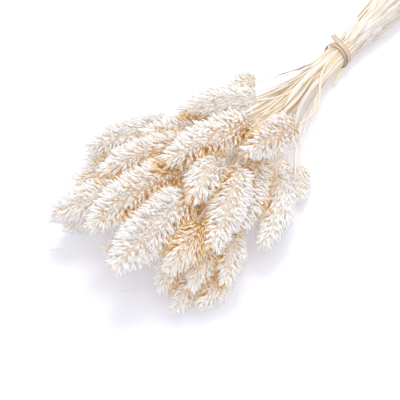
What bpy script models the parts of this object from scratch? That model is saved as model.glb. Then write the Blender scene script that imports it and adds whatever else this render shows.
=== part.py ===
"""Dried canary grass: a tied bunch of bleached stalks lying on its side.

Each stalk is one piece, a thin stem that ends in an oval seed head covered with
pointed spikelets. A flat strip is wound round the stems and holds the bunch, and a
few loose leaf blades are caught under it. The bunch lies along X: the heads are
towards -X, the cut ends towards +X, and it rests on the plane z = 0.
"""

import math
import random

import bpy
import numpy as np

MM = 0.001
SEED = 41

# The bunch, in millimetres. The strip is at x = 0 while the pieces are laid out.
BACK_REACH = 290.0  # from the strip to the cut ends
BACK_UNEVEN = 9.0  # how far one cut end differs from the next
BACK_SPREAD = 2.4  # how much wider the bunch is at the cut ends than under the strip
BACK_SWAY = 2.5  # how far a cut end strays from its even place, to either side
STEM_RADIUS_CUT = 1.2
STEM_RADIUS_TIE = 1.0
STEM_RADIUS_NECK = 0.85
STEM_PITCH = 2.25  # from stem to stem under the strip
CLEARANCE = 0.45  # kept between pieces outside the strip
FLOOR_GAP = 0.1  # kept between the stalks and the surface, which the strip itself touches
TIE_HALF = 9.0  # the stems run straight for this far each side of the strip

# The wound strip
STRIP_THICK = 0.75
STRIP_WIDTH = 4.4
STRIP_STEP = 1.05  # how much further out each turn lies
STRIP_SHIFT = 2.6  # how much further towards the cut ends each turn lies
STRIP_FACETS = 20  # flats in one turn; one of them is the flat spot that it rests on
STRIP_TURNS = 1.75
STRIP_TAIL = 9.0  # how far its end stands out, how much it lifts and how far it turns aside
STRIP_TAIL_LIFT = 1.2
STRIP_TAIL_SHIFT = 2.0
STRIP_CORE = 7.6  # inner radius of the first turn

# One seed head
HEAD_COLUMNS = 10
SPIKELET_PITCH = 6.2  # along the head, from row to row
SPIKELET_LEAN = 5.6  # how far a spikelet's point leans towards the head's tip
CORE_SHARE = 0.66  # the core's radius, as a share of the outline's
CORE_START = 0.03  # the core's first ring, last ring and point, along the head
CORE_END = 0.90
CORE_TIP = 0.975
TIP_ROOM = 0.86  # the last spikelets lean over this much of what is left of the head
HEAD_SAMPLES = 25
STEM_SIDES = 5

# Every stalk: how far from the strip its tip is (mm), that line's bearing from the
# bunch's own line (degrees, positive towards +Y), how high its tip lies (mm), the
# heading of the head itself and how far it points down (degrees), and the head's
# length and width (mm).
STALKS = [
    (94, 14, 34, 27, -6, 18, 12),
    (136, 10.5, 44, 35, -6, 47, 19),
    (162, 13, 40, 32, -6, 54, 18),
    (189, 18, 30, 29, -4, 54, 18),
    (188, 20, 13, 32, 0, 50, 18),
    (203, 17, 15, 32, 3, 50, 18),
    (196, 11, 36, 30, -2, 54, 19),
    (175, 1.5, 52, 22, -4, 58, 20),
    (182, 8, 24, 24, -1, 52, 18),
    (233, 12, 22, 28, 2, 60, 19),
    (223, 11, 10, 28, 3, 52, 18),
    (225, 4, 34, 14, 4, 64, 22),
    (220, 3, 12, 14, 0, 52, 19),
    (236, -2.5, 29, 11, 8, 61, 24),
    (186, -7, 47, -9, 3, 32, 17),
    (186, -8, 30, -13, 11, 32, 16),
    (219, -8, 25, -3, 13, 33, 17),
    (222, -9, 9, -7, 6, 34, 15),
    (213, -12, 17, -24, 16, 31, 14),
    (220, -13, 9, -13, 4, 36, 15),
    (226, -11, 8, -10, 3, 32, 14),
    (200, -13, 38, -28, 2, 54, 18),
    (172, -15, 28, -31, 2, 51, 21),
    (173, -19, 16, -32, 4, 48, 21),
    (142, -17, 11, -31, 3, 42, 16),
    (142, -10, 52, 14, -6, 39, 18),
    (205, -16, 17, -32, 8, 35, 15),
    (126, -24, 6, -38, 0, 27, 11),
    (192, 4, 10, 8, 0, 50, 17),
    (164, -2, 24, 0, 0, 46, 17),
    (152, 9, 12, 16, 0, 46, 16),
]

# Every leaf blade: which corner of the packed stems it runs in, how far it reaches
# towards the heads and towards the cut ends (mm), its bearing (degrees), the height
# of its tip (mm) and its width (mm).
LEAVES = [
    (2, 92, 60, -16, 27, 4.4),
    (3, 128, 44, -17, 20, 3.4),
    (1, 84, 72, -9, 34, 3.8),
    (0, 60, 52, 13, 24, 3.4),
]
LEAF_THICK = 0.7
LEAF_FOLD = 1.9  # a blade's width where the strip holds it
LEAF_STRAY = 0.10  # how far its back end strays from the stems, for each mm behind the strip
LEAF_TURN = 1.7  # the heading of its tip, as a multiple of the tip's bearing
LEAF_DROOP = 4.0
LEAF_WIDEST = 0.4  # the place of its widest part, ahead of the strip

# Stations along every piece, from its cut end to its tip
BACK_STATIONS = 5
STEM_STATIONS = 7
HEAD_STATIONS = 9
TIE_BACK = BACK_STATIONS
TIE_FRONT = BACK_STATIONS + 1
NECK = TIE_FRONT + STEM_STATIONS
STATIONS = NECK + HEAD_STATIONS

# How the pieces are eased apart
EASE_ROUNDS = 420
SETTLE_FROM = 0.8
NEAR_MARGIN = 6.0
PUSH_SHARE = 0.42
MOST_PUSH = 2.0
RETURN_SHARE = 0.006
STEM_STIFF = 0.30
HEAD_STIFF = 0.55
SETTLE_STIFF = 0.35


def smooth(u):
    """Runs from 0 to 1, level at both ends."""
    u = min(max(u, 0.0), 1.0)
    return u * u * (3.0 - 2.0 * u)


def outline(t):
    """The head's radius at t, from its neck (0) to its tip (1), as a share of its widest."""
    t = min(max(t, 0.0), 1.0)
    full = math.sin(math.pi * t**0.85)
    return max(0.14, max(full, 0.0) ** 0.55)


def tie_height():
    """Height of the strip's centre: its outer turn has one flat side on z = 0."""
    outer = STRIP_CORE + STRIP_STEP + STRIP_THICK
    return outer * math.cos(math.pi / STRIP_FACETS)


def packed_places():
    """The stems' places under the strip, in columns from -Y to +Y, and the four upper corners.

    The places are close-packed in a hexagon. Its corners are left to the leaf blades,
    which are flatter than a stem.
    """
    rings = 3
    corner_reach = rings * STEM_PITCH - 0.01
    columns = []
    corners = []
    for column in range(-rings, rings + 1):
        count = 2 * rings + 1 - abs(column)
        y = column * STEM_PITCH * math.sqrt(3) / 2
        heights = [(row - (count - 1) / 2) * STEM_PITCH for row in range(count)]
        columns.append([(y, z) for z in heights if math.hypot(y, z) < corner_reach])
        corners += [(y, z) for z in heights if math.hypot(y, z) > corner_reach]
    # Round from the upper +Y side over the top to the lower -Y side
    corners.sort(key=lambda place: math.atan2(place[1], place[0]) % (2 * math.pi))
    return columns, corners[:4]


def tip_of(reach, bearing, height):
    turn = math.radians(bearing)
    return np.array([-reach * math.cos(turn), reach * math.sin(turn), height])


def heading_of(heading, droop):
    turn, down = math.radians(heading), math.radians(droop)
    return np.array(
        [-math.cos(turn) * math.cos(down), math.sin(turn) * math.cos(down), -math.sin(down)]
    )


def bend_between(start, start_way, end, end_way, count):
    """count points after start, up to end, on one smooth bend."""
    reach = np.linalg.norm(end - start)
    a, b = start_way * reach, end_way * reach
    points = []
    for i in range(1, count + 1):
        u = i / count
        points.append(
            (2 * u**3 - 3 * u**2 + 1) * start
            + (u**3 - 2 * u**2 + u) * a
            + (3 * u**2 - 2 * u**3) * end
            + (u**3 - u**2) * b
        )
    return points


def back_points(place, rng):
    """From the cut end to the strip: the stems open out a little."""
    y, z = place
    # The lowest cut ends lie on the surface
    end_height = 2.7 * STEM_PITCH * BACK_SPREAD + STEM_RADIUS_CUT + FLOOR_GAP
    reach = BACK_REACH + rng.uniform(-BACK_UNEVEN, BACK_UNEVEN)
    sway = rng.uniform(-BACK_SWAY, BACK_SWAY), rng.uniform(-BACK_SWAY, BACK_SWAY)
    points = []
    for i in range(BACK_STATIONS):
        u = (1 - i / BACK_STATIONS) ** 1.4
        x = TIE_HALF + (reach - TIE_HALF) * u
        wide = 1 + (BACK_SPREAD - 1) * u**0.6
        centre = tie_height() + (end_height - tie_height()) * u**0.6
        points.append(
            np.array([x, y * wide + sway[0] * u * u, centre + z * wide + sway[1] * u * u])
        )
    return points


def stalk_line(row, place, rng):
    """Centre line and radii of one stalk, from its cut end to its head's tip."""
    reach, bearing, height, heading, droop, length, width = row
    y, z = place
    tip = tip_of(reach, bearing, height)
    way = heading_of(heading, droop)
    neck = tip - way * length
    line = back_points(place, rng)
    line.append(np.array([TIE_HALF, y, tie_height() + z]))
    line.append(np.array([-TIE_HALF, y, tie_height() + z]))
    line += bend_between(line[-1], np.array([-1.0, 0.0, 0.0]), neck, way, STEM_STATIONS)
    # The head's own stations lie closer together at its two ends
    shares = [(1 - math.cos(math.pi * i / (HEAD_STATIONS - 1))) / 2 for i in range(HEAD_STATIONS)]
    line += [neck + way * length * s for s in shares[1:]]
    radii = []
    for k in range(BACK_STATIONS):
        u = k / BACK_STATIONS
        radii.append(STEM_RADIUS_CUT + (STEM_RADIUS_TIE - STEM_RADIUS_CUT) * u)
    radii += [STEM_RADIUS_TIE, STEM_RADIUS_TIE]
    for k in range(1, STEM_STATIONS + 1):
        radii.append(STEM_RADIUS_TIE + (STEM_RADIUS_NECK - STEM_RADIUS_TIE) * k / STEM_STATIONS)
    radii += [max(width / 2 * outline(s + 0.03), STEM_RADIUS_NECK) for s in shares[1:]]
    return line, radii


def leaf_line(row, corners):
    """Centre line and half widths of one loose leaf blade, held under the strip at a corner.

    It is folded narrow under the strip, widest ahead of it, and pointed at both ends.
    """
    corner, front, back, bearing, height, width = row
    y, z = corners[corner]
    centre = tie_height()
    out = np.array([0.0, y, z]) / math.hypot(y, z)
    back_tip = np.array([back, 0.0, centre]) + out * (3 * STEM_PITCH + LEAF_STRAY * back)
    start = np.array([TIE_HALF, y, centre + z])
    end = np.array([-TIE_HALF, y, centre + z])
    along = np.array([-1.0, 0.0, 0.0])
    line = [back_tip] + bend_between(back_tip, along, start, along, BACK_STATIONS)
    line.append(end)
    tip = tip_of(front, bearing, height)
    way = heading_of(bearing * LEAF_TURN, LEAF_DROOP)
    line += bend_between(end, along, tip, way, STATIONS - len(line))
    halves = []
    for k in range(STATIONS):
        if k <= TIE_BACK:
            share = smooth(1 - k / TIE_BACK)
        elif k <= TIE_FRONT:
            share = 0.0
        else:
            u = (k - TIE_FRONT) / (STATIONS - 1 - TIE_FRONT)
            past = max(u - LEAF_WIDEST, 0.0) / (1 - LEAF_WIDEST)
            share = smooth(u / LEAF_WIDEST) - 0.6 * past**1.6
        halves.append((LEAF_FOLD + (width - LEAF_FOLD) * share) / 2)
    halves[0] *= 0.5
    return line, halves


def closest(p, q, r, s):
    """For many pairs of segments p-q and r-s: how far along each the nearest points are."""
    d1, d2, w = q - p, s - r, p - r
    a = np.maximum((d1 * d1).sum(1), 1e-9)
    e = np.maximum((d2 * d2).sum(1), 1e-9)
    b, c, f = (d1 * d2).sum(1), (d1 * w).sum(1), (d2 * w).sum(1)
    spread = a * e - b * b
    u = np.clip(np.where(spread > 1e-9, (b * f - c * e) / np.maximum(spread, 1e-9), 0.5), 0, 1)
    v = np.clip((b * u + f) / e, 0, 1)
    u = np.clip((b * v - c) / a, 0, 1)
    return u, v


class Spacer:
    """Nudges the pieces' centre lines until every piece keeps clear of its neighbours.

    Each piece is a row of points with a radius at each. The two points that hold it under
    the strip stay where they are, and every segment in front of them keeps its length.
    """

    def __init__(self, lines, radii):
        self.rest = np.array(lines)
        self.count = len(lines)
        self.radius = np.array(radii).reshape(-1)
        grid = np.arange(self.count * STATIONS).reshape(self.count, STATIONS)
        self.starts, self.ends = grid[:, :-1].ravel(), grid[:, 1:].ravel()
        owner = np.repeat(np.arange(self.count), STATIONS - 1)
        i, j = np.triu_indices(len(self.starts), 1)
        apart = owner[i] != owner[j]
        self.pairs = i[apart], j[apart]
        self.lengths = np.linalg.norm(np.diff(self.rest, axis=1), axis=2)
        self.bends = self.bend_of(self.rest)
        self.stiff = np.full(STATIONS, STEM_STIFF)
        self.stiff[NECK:] = HEAD_STIFF
        self.stiff[TIE_BACK : TIE_FRONT + 1] = 0.0

    @staticmethod
    def bend_of(lines):
        return lines[:, 1:-1] - (lines[:, :-2] + lines[:, 2:]) / 2

    def near_pairs(self, lines):
        """The ends of each two segments that lie near enough to matter."""
        points = lines.reshape(-1, 3)
        middle = (points[self.starts] + points[self.ends]) / 2
        half = np.linalg.norm(points[self.starts] - points[self.ends], axis=1) / 2
        half += np.maximum(self.radius[self.starts], self.radius[self.ends])
        i, j = self.pairs
        near = np.linalg.norm(middle[i] - middle[j], axis=1) < half[i] + half[j] + NEAR_MARGIN
        i, j = i[near], j[near]
        return self.starts[i], self.ends[i], self.starts[j], self.ends[j]

    def pushes(self, lines, near):
        """How each point has to move so that the segments near it come apart."""
        points = lines.reshape(-1, 3)
        a, b, c, d = near
        u, v = closest(points[a], points[b], points[c], points[d])
        u, v = u[:, None], v[:, None]
        gap = points[a] * (1 - u) + points[b] * u - points[c] * (1 - v) - points[d] * v
        far = np.maximum(np.linalg.norm(gap, axis=1, keepdims=True), 1e-6)
        radius = self.radius[:, None]
        need = radius[a] * (1 - u) + radius[b] * u + radius[c] * (1 - v) + radius[d] * v
        deep = np.maximum(need + CLEARANCE - far, 0.0)
        push = gap / far * deep / ((1 - u) ** 2 + u**2 + (1 - v) ** 2 + v**2)
        move = np.zeros_like(points)
        np.add.at(move, a, push * (1 - u))
        np.add.at(move, b, push * u)
        np.add.at(move, c, -push * (1 - v))
        np.add.at(move, d, -push * v)
        return np.clip(move * PUSH_SHARE, -MOST_PUSH, MOST_PUSH).reshape(lines.shape)

    def hold_lengths(self, lines):
        """Puts each point back at its distance from the one nearer to the strip."""
        onward = [(k, k - 1, k - 1) for k in range(TIE_FRONT + 1, STATIONS)]
        backward = [(k, k + 1, k) for k in range(TIE_BACK - 1, -1, -1)]
        for k, anchor, segment in onward + backward:
            way = lines[:, k] - lines[:, anchor]
            way /= np.linalg.norm(way, axis=1, keepdims=True)
            lines[:, k] = lines[:, anchor] + way * self.lengths[:, segment, None]

    def run(self):
        lines = self.rest.copy()
        lowest = self.radius.reshape(self.count, STATIONS) + FLOOR_GAP
        for turn in range(EASE_ROUNDS):
            if turn % 12 == 0:
                near = self.near_pairs(lines)
            lines += self.pushes(lines, near)
            # The last rounds only clear what is left, and no longer pull towards the design
            settling = turn > EASE_ROUNDS * SETTLE_FROM
            if not settling:
                lines += (self.rest - lines) * RETURN_SHARE
            turned = (self.bend_of(lines) - self.bends) * self.stiff[1:-1, None]
            lines[:, 1:-1] -= turned * (SETTLE_STIFF if settling else 1.0)
            lines[:, TIE_BACK : TIE_FRONT + 1] = self.rest[:, TIE_BACK : TIE_FRONT + 1]
            lines[:, :, 2] = np.maximum(lines[:, :, 2], lowest)
            self.hold_lengths(lines)
        return lines


def frames_along(line):
    """A direction and two cross directions at each point, turned as little as possible."""
    ways = np.gradient(line, axis=0)
    ways /= np.linalg.norm(ways, axis=1)[:, None]
    side = np.cross(ways[0], [0.0, 0.0, 1.0])
    side /= np.linalg.norm(side)
    frames = []
    for way in ways:
        side = side - way * side.dot(way)
        side = side / np.linalg.norm(side)
        frames.append((way, side, np.cross(way, side)))
    return frames


def ring(centre, frame, radius, sides, turn=0.0):
    _, side, up = frame
    points = []
    for k in range(sides):
        angle = 2 * math.pi * (k + turn) / sides
        points.append(centre + (side * math.cos(angle) + up * math.sin(angle)) * radius)
    return points


class Shell:
    """Collects the points and faces of one closed mesh."""

    def __init__(self):
        self.points = []
        self.faces = []

    def add(self, points):
        first = len(self.points)
        self.points += [tuple(p) for p in points]
        return list(range(first, len(self.points)))

    def tube(self, lower, upper):
        """Joins two rings of the same count."""
        n = len(lower)
        for k in range(n):
            m = (k + 1) % n
            self.faces.append((lower[k], lower[m], upper[m], upper[k]))

    def fan(self, rim, point, outwards=True):
        n = len(rim)
        for k in range(n):
            m = (k + 1) % n
            pair = (rim[k], rim[m]) if outwards else (rim[m], rim[k])
            self.faces.append((*pair, point))

    def to_object(self, name, material, round_sides=False):
        mesh = bpy.data.meshes.new(name)
        scaled = [tuple(c * MM for c in p) for p in self.points]
        mesh.from_pydata(scaled, [], self.faces)
        mesh.update()
        if round_sides:
            for face in mesh.polygons:
                face.use_smooth = len(face.vertices) == 4
        mesh.materials.append(material)
        obj = bpy.data.objects.new(name, mesh)
        bpy.context.scene.collection.objects.link(obj)
        return obj


def point_on(line, stations, t):
    """The point at t (0 to 1) of the line's own length."""
    k = int(np.clip(np.searchsorted(stations, t) - 1, 0, len(stations) - 2))
    u = (t - stations[k]) / (stations[k + 1] - stations[k])
    return line[k] * (1 - u) + line[k + 1] * u


def join_neck(shell, neck, base):
    """Joins the stem's five sides to the core's ten columns."""
    count = len(base)
    for i in range(STEM_SIDES):
        m = (i + 1) % STEM_SIDES
        low, mid, high = base[2 * i], base[2 * i + 1], base[(2 * i + 2) % count]
        shell.faces += [(neck[i], mid, low), (neck[i], neck[m], mid), (neck[m], high, mid)]


def head_onto(shell, neck, line, width, rng):
    """The seed head: a slim core of staggered rings, with a pointed spikelet on each diamond."""
    steps = np.linalg.norm(np.diff(line, axis=0), axis=1)
    length = steps.sum()
    stations = np.concatenate([[0.0], np.cumsum(steps)]) / length
    samples = np.array([point_on(line, stations, t) for t in np.linspace(0, 1, HEAD_SAMPLES)])
    frames = frames_along(samples)
    rows = max(5, round(length / SPIKELET_PITCH))
    places = np.linspace(CORE_START, CORE_END, rows + 1)

    def frame_at(t):
        return frames[round(t * (HEAD_SAMPLES - 1))]

    rings = []
    for j, t in enumerate(places):
        radius = width / 2 * outline(t) * CORE_SHARE
        centre = point_on(line, stations, t)
        half = 0.5 if j % 2 else 0.0
        rings.append(shell.add(ring(centre, frame_at(t), radius, HEAD_COLUMNS, half)))
    join_neck(shell, neck, rings[0])
    for k in range(HEAD_COLUMNS):
        shell.faces.append((rings[0][k - 1], rings[0][k], rings[1][k - 1]))
    for j in range(1, rows):
        way, side, up = frame_at(places[j])
        lean = min(SPIKELET_LEAN, TIP_ROOM * (1.0 - places[j]) * length)
        for k in range(HEAD_COLUMNS):
            # The ring's points k-1 and k flank the diamond's middle
            m, turn = (k, k) if j % 2 else (k - 1, k - 0.5)
            angle = 2 * math.pi * turn / HEAD_COLUMNS
            out = side * math.cos(angle) + up * math.sin(angle)
            ahead = lean * rng.uniform(0.88, 1.0)
            reach = width / 2 * outline(places[j] + ahead / length) * rng.uniform(0.93, 1.0)
            (tip,) = shell.add([point_on(line, stations, places[j]) + way * ahead + out * reach])
            corners = [rings[j - 1][m], rings[j][k], rings[j + 1][m], rings[j][k - 1]]
            shell.fan(corners, tip)
    for k in range(HEAD_COLUMNS):
        under = rings[rows - 1][k - 1 + rows % 2]
        shell.faces.append((rings[rows][k], rings[rows][k - 1], under))
    (tip,) = shell.add([point_on(line, stations, CORE_TIP)])
    shell.fan(rings[rows], tip)


def make_stalk(name, line, radii, width, material, rng):
    shell = Shell()
    stem = line[: NECK + 1]
    frames = frames_along(line)
    rings = [
        shell.add(ring(stem[k], frames[k], radii[k], STEM_SIDES)) for k in range(NECK + 1)
    ]
    (cut,) = shell.add([stem[0]])
    shell.fan(rings[0], cut, outwards=False)
    for lower, upper in zip(rings, rings[1:]):
        shell.tube(lower, upper)
    head_onto(shell, rings[-1], line[NECK:], width, rng)
    return shell.to_object(name, material, round_sides=True)


def make_leaf(name, line, halves, corner, material):
    """A thin blade that lies flat to the bunch."""
    shell = Shell()
    rings = []
    for k, frame in enumerate(frames_along(line)):
        way = frame[0]
        out = np.array([0.0, *corner])
        out -= way * out.dot(way)
        out /= np.linalg.norm(out)
        across = np.cross(out, way)
        a, b = across * halves[k], out * LEAF_THICK / 2
        rings.append(shell.add([line[k] - a - b, line[k] + a - b, line[k] + a + b, line[k] - a + b]))
    shell.faces.append(tuple(reversed(rings[0])))
    for lower, upper in zip(rings, rings[1:]):
        shell.tube(lower, upper)
    shell.faces.append(tuple(rings[-1]))
    return shell.to_object(name, material)


def strip_sections():
    """Where the strip's middle lies, with its inner and outer points, from its start to its tail."""
    facet = 2 * math.pi / STRIP_FACETS
    sections = []
    for i in range(round(STRIP_TURNS * STRIP_FACETS) + 1):
        # It starts half a facet early, so that one flat lies level at the bottom
        angle = facet / 2 - i * facet
        whole, part = divmod((i - 0.5) / STRIP_FACETS, 1.0)
        grown = whole + smooth((part - 0.5) * 2)
        inner = STRIP_CORE + STRIP_STEP * grown
        x = STRIP_SHIFT * (grown - 1)
        out = np.array([0.0, math.cos(angle), math.sin(angle)])
        sections.append((x, out * inner, out * (inner + STRIP_THICK)))
    x, low, high = sections[-1]
    away = low / np.linalg.norm(low)
    ahead = np.array([0.0, away[2], -away[1]])
    for u in (0.33, 0.67, 1.0):
        step = ahead * STRIP_TAIL * u + away * STRIP_TAIL_LIFT * u * u
        sections.append((x + STRIP_TAIL_SHIFT * u, low + step, high + step))
    return sections


def make_strip(name, material):
    """The flat strip: it winds outwards over the top of the bunch and runs level below it."""
    shell = Shell()
    half = np.array([STRIP_WIDTH / 2, 0.0, 0.0])
    rings = []
    for x, low, high in strip_sections():
        middle = np.array([x, 0.0, tie_height()])
        inner, outer = middle + low, middle + high
        rings.append(shell.add([inner - half, outer - half, outer + half, inner + half]))
    shell.faces.append(tuple(reversed(rings[0])))
    for lower, upper in zip(rings, rings[1:]):
        shell.tube(lower, upper)
    shell.faces.append(tuple(rings[-1]))
    return shell.to_object(name, material)


def make_material(name, colour, roughness):
    material = bpy.data.materials.new(name)
    material.use_nodes = True
    shader = material.node_tree.nodes["Principled BSDF"]
    shader.inputs["Base Color"].default_value = (*colour, 1.0)
    shader.inputs["Roughness"].default_value = roughness
    shader.inputs["Metallic"].default_value = 0.0
    return material


def places_for(rows, columns):
    """Gives each stalk its place under the strip: columns by bearing, and by height in each."""
    order = sorted(range(len(rows)), key=lambda i: rows[i][1] * rows[i][0] ** 0.5)
    places = [None] * len(rows)
    start = 0
    for column in columns:
        group = order[start : start + len(column)]
        start += len(column)
        group.sort(key=lambda i: rows[i][2] / rows[i][0])
        for place, i in zip(sorted(column, key=lambda c: c[1]), group):
            places[i] = place
    return places


def centre_on_origin(objects):
    """Moves the whole bunch so that the middle of its box is over the origin."""
    corners = np.array([v.co for o in objects for v in o.data.vertices])
    low, high = corners.min(axis=0), corners.max(axis=0)
    holder = bpy.data.objects.new("bunch", None)
    bpy.context.scene.collection.objects.link(holder)
    for obj in objects:
        obj.parent = holder
    holder.location = (-(low[0] + high[0]) / 2, -(low[1] + high[1]) / 2, 0.0)


def main():
    for obj in list(bpy.data.objects):
        bpy.data.objects.remove(obj)
    rng = random.Random(SEED)
    head = make_material("bleached_head", (0.93, 0.86, 0.74), 0.85)
    leaf = make_material("bleached_leaf", (0.90, 0.86, 0.76), 0.7)
    strip = make_material("tie_strip", (0.78, 0.62, 0.46), 0.6)
    columns, corners = packed_places()
    places = places_for(STALKS, columns)
    laid = [stalk_line(row, place, rng) for row, place in zip(STALKS, places)]
    laid += [leaf_line(row, corners) for row in LEAVES]
    lines = Spacer([line for line, _ in laid], [radii for _, radii in laid]).run()
    objects = []
    for n, row in enumerate(STALKS):
        name = f"stalk_{n + 1:02d}"
        objects.append(make_stalk(name, lines[n], laid[n][1], row[6], head, rng))
    for n, row in enumerate(LEAVES):
        k = len(STALKS) + n
        name = f"leaf_blade_{n + 1}"
        objects.append(make_leaf(name, lines[k], laid[k][1], corners[row[0]], leaf))
    objects.append(make_strip("tie_strip", strip))
    centre_on_origin(objects)


main()
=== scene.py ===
"""The looks of the tied bunch of bleached canary grass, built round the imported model.

Each stalk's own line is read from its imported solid. A finer stem is drawn along it, with
a head of many keeled glumes in pairs. The leaf blades and the wound strip are redrawn in
the same places. Loose straws, sheaths and small dry bits are added.
"""

import math

import bmesh
import bpy
import numpy as np
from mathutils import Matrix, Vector


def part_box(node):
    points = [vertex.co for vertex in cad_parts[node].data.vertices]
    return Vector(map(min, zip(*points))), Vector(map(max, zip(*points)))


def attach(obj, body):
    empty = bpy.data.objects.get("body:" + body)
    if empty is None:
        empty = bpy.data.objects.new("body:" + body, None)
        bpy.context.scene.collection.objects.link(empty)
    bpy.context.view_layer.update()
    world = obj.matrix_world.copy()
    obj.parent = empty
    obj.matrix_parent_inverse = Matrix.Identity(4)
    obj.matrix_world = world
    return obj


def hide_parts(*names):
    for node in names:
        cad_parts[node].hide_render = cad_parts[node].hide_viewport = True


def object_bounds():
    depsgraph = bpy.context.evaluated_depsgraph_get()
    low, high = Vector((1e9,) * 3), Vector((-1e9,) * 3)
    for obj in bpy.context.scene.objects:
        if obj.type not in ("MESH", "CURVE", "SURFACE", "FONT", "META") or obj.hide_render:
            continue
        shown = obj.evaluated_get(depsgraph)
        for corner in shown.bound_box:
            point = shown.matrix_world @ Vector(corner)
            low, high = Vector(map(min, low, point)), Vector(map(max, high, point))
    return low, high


MM = 0.001
TINY = 1e-12
UP = np.array([0.0, 0.0, 1.0])
GOLDEN_ANGLE = math.pi * (3 - math.sqrt(5))
FLOOR_GAP = 0.15 * MM

# Each kind of piece draws its own random numbers
SEED = 7
LEAF_SEED_STEP = 100
STRAW_SEED, SHEATH_SEED, STRIP_SEED, BIT_SEED = SEED + 200, SEED + 300, SEED + 400, SEED + 500

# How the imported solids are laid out
MERGE_DISTANCE = 1e-5
END_DEPTH = 3 * MM
STEM_RINGS, TIE_RING = 14, 5
SPIKELET_VALENCE = 4
HEAD_FIRST, HEAD_LAST, HEAD_POINT = 0.03, 0.90, 0.975
HEAD_LEAN, HEAD_FULLNESS, HEAD_LEAST = 0.85, 0.55, 0.14
CORE_SHARE = 0.66
AXIS_DEGREE, AXIS_SAMPLES = 3, 40

# The outline that the glumes' tips reach
NECK_END = 0.17
TIP_START, TIP_LOSS, TIP_POWER = 0.52, 0.70, 1.9
LEAST_PLUMP, BRUSH = 0.16, 0.33
PROUD = 1.15
PAST_BOX = 0.4 * MM

# The closed core of a head, which the glumes stand on
CORE_SIDES, CORE_RINGS, CORE_END = 12, 18, 0.97
SLIM_CORE, TIP_CORE = 0.60, 0.20
SLIMMING_FROM, SLIMMING_OVER = 0.45, 0.5
CORE_OVERLAP = 0.03
LEAST_CORE, CORE_NECK = 0.6 * MM, 0.8 * MM
# The core is painted in the colour of a glume's base: warm painted shade deep in the head
CORE_ALONG, CORE_TONE = 0.15, 0.5

# One glume: its size, its rings along it and how full each ring is
GLUME_LENGTH, GLUME_DEPTH, GLUME_THICK = 7.0 * MM, 1.36 * MM, 0.66 * MM
GLUME_SIDES = 4
GLUME_STATIONS = np.array([0.14, 0.46, 0.80])
GLUME_SWELL = np.array([0.62, 1.0, 0.58])
FLANK_BACK = 0.1
PAIR_APART, PAIR_OPENS, PAIR_POWER = 0.26 * MM, 0.14 * MM, 1.3
KNEE_OUT, KNEE_AHEAD = 0.56, 0.48

# How the pairs of glumes are spread over a head
AREA_SAMPLES, PLACE_SAMPLES, SURFACE_ROUNDS = 100, 400, 4
USUAL_HALF = 10 * MM
SPIKELET_AREA = 4.35 * MM * MM
LEAST_COVER = 0.35
CLOSE_SET, OPENS_BY, OPENS_FROM, OPENS_OVER = 1.12, 0.40, 0.4, 0.6
FIRST_GLUME, GLUME_SPAN = 0.015, 0.895
LEAST_INNER = 0.5 * MM
FIRST_GUESS, LEAST_RUN, MOST_RISE = 0.72, 0.3, 0.94
LAST_TIP = 1.06
GROWS_BY, GROWS_FROM, GROWS_OVER = 0.22, 0.35, 0.5

# How uneven the glumes are
TURN_SPREAD, TIP_TURN_SPREAD, KEEL_SPREAD = 0.05, 0.07, 0.22
LENGTH_SPREAD, REACH_SPREAD, SIZE_SPREAD = 0.12, 0.06, 0.08
BULGE, BULGE_SPREAD = 0.03, 0.015
STRAY, STRAY_SHAPE, STRAY_BACK = 0.35 * MM, 2.0, 0.5 * MM
LOOSE_SHARE, LOOSE_LEAST, LOOSE_OUT, LOOSE_BACK = 0.28, 0.4, 1.5 * MM, 0.35
TIP_SLIP = 0.35 * MM
WARMTH_SPREAD = 0.10

# Painted shade: heads are painted ochre and golden where other heads crowd them, for the warm shade
# between them
CROWD_REACH, CROWD_DEPTH, CROWD_SHADE = 8.0 * MM, 1.0 * MM, 2.1
CROWD_SAMPLES, FAR = 16, 1.0

# Stems
STEM_SHARE, STEM_POINTS, TUBE_SIDES = 0.86, 72, 8
KNOT_LENGTH, KNOT_SWELL, KNOT_TINT = 1.6 * MM, 0.22, 0.7
STEM_KNOTS = ((0.08, 0.3), (0.62, 0.85))
# Painted shade: a stem's surface is painted ochre where it lies deep inside the bunch
COVER_OUT, COVER_REACH, COVER_FULL = 2.2 * MM, 3.4 * MM, 5.5
CLOUD_POINTS = 130

# Straws between a stem and one of the next ones; a pair of numbers is a span to draw from
NEXT_STEMS = 3
PAIR_STRAWS, PAIR_STRIDE, PAIR_OPENING = 44, 5, 0.10
PAIR_SHARES, PAIR_RINGS = (0.25, 0.75), (12, 15)

# Straws all round the bunch
RIM_STRAWS, RIM_RADIUS, RIM_OPENING, RIM_CLOSING = 18, 7.0 * MM, 0.26, 9
RIM_SHARES, RIM_RINGS = (0.2, 0.6), 13

# One straw, with the spans of its waves and their swing in millimetres
STRAW_RADIUS, STRAW_SIZES, STRAW_END = 0.66 * MM, (0.75, 1.25), (0.3, 8)
STRAW_POINTS, STRAW_FREE, STRAW_KNOTS = 60, 60 * MM, (0.2, 0.9)
STRAW_WAVES, STRAW_PHASES, STRAW_SWINGS = (24, 40), (0, 6), (0.2, 0.9)

# Crumpled sheaths behind the strip, the first of them on top of the bunch
SHEATHS, TOP_SHEATHS, SHEATH_POINTS = 30, 16, 26
TOP_ANGLES, OTHER_ANGLES = (70, 200), (150, 240)
SHEATH_RADIUS, SHEATH_SPREAD, SHEATH_RISE = 7.3 * MM, 0.05, 0.04
SHEATH_TURN, CURL_POWER, RIPPLE, RIPPLES = 0.25, 2.2, 0.5 * MM, 5
SHEATH_START, SHEATH_END, END_POWER = (0.35, 3), (0.06, 3.2), 0.8
SHEATH_FOLD, SHEATH_WAVE = -0.35, 0.25

# Spans of the sheaths' starts, lengths, curls and half widths, in millimetres
SHEATH_STARTS, SHEATH_LENGTHS = (1, 34), (18, 44)
SHEATH_CURLS, SHEATH_HALVES = (0.5, 5.0), (1.1, 2.3)

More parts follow.
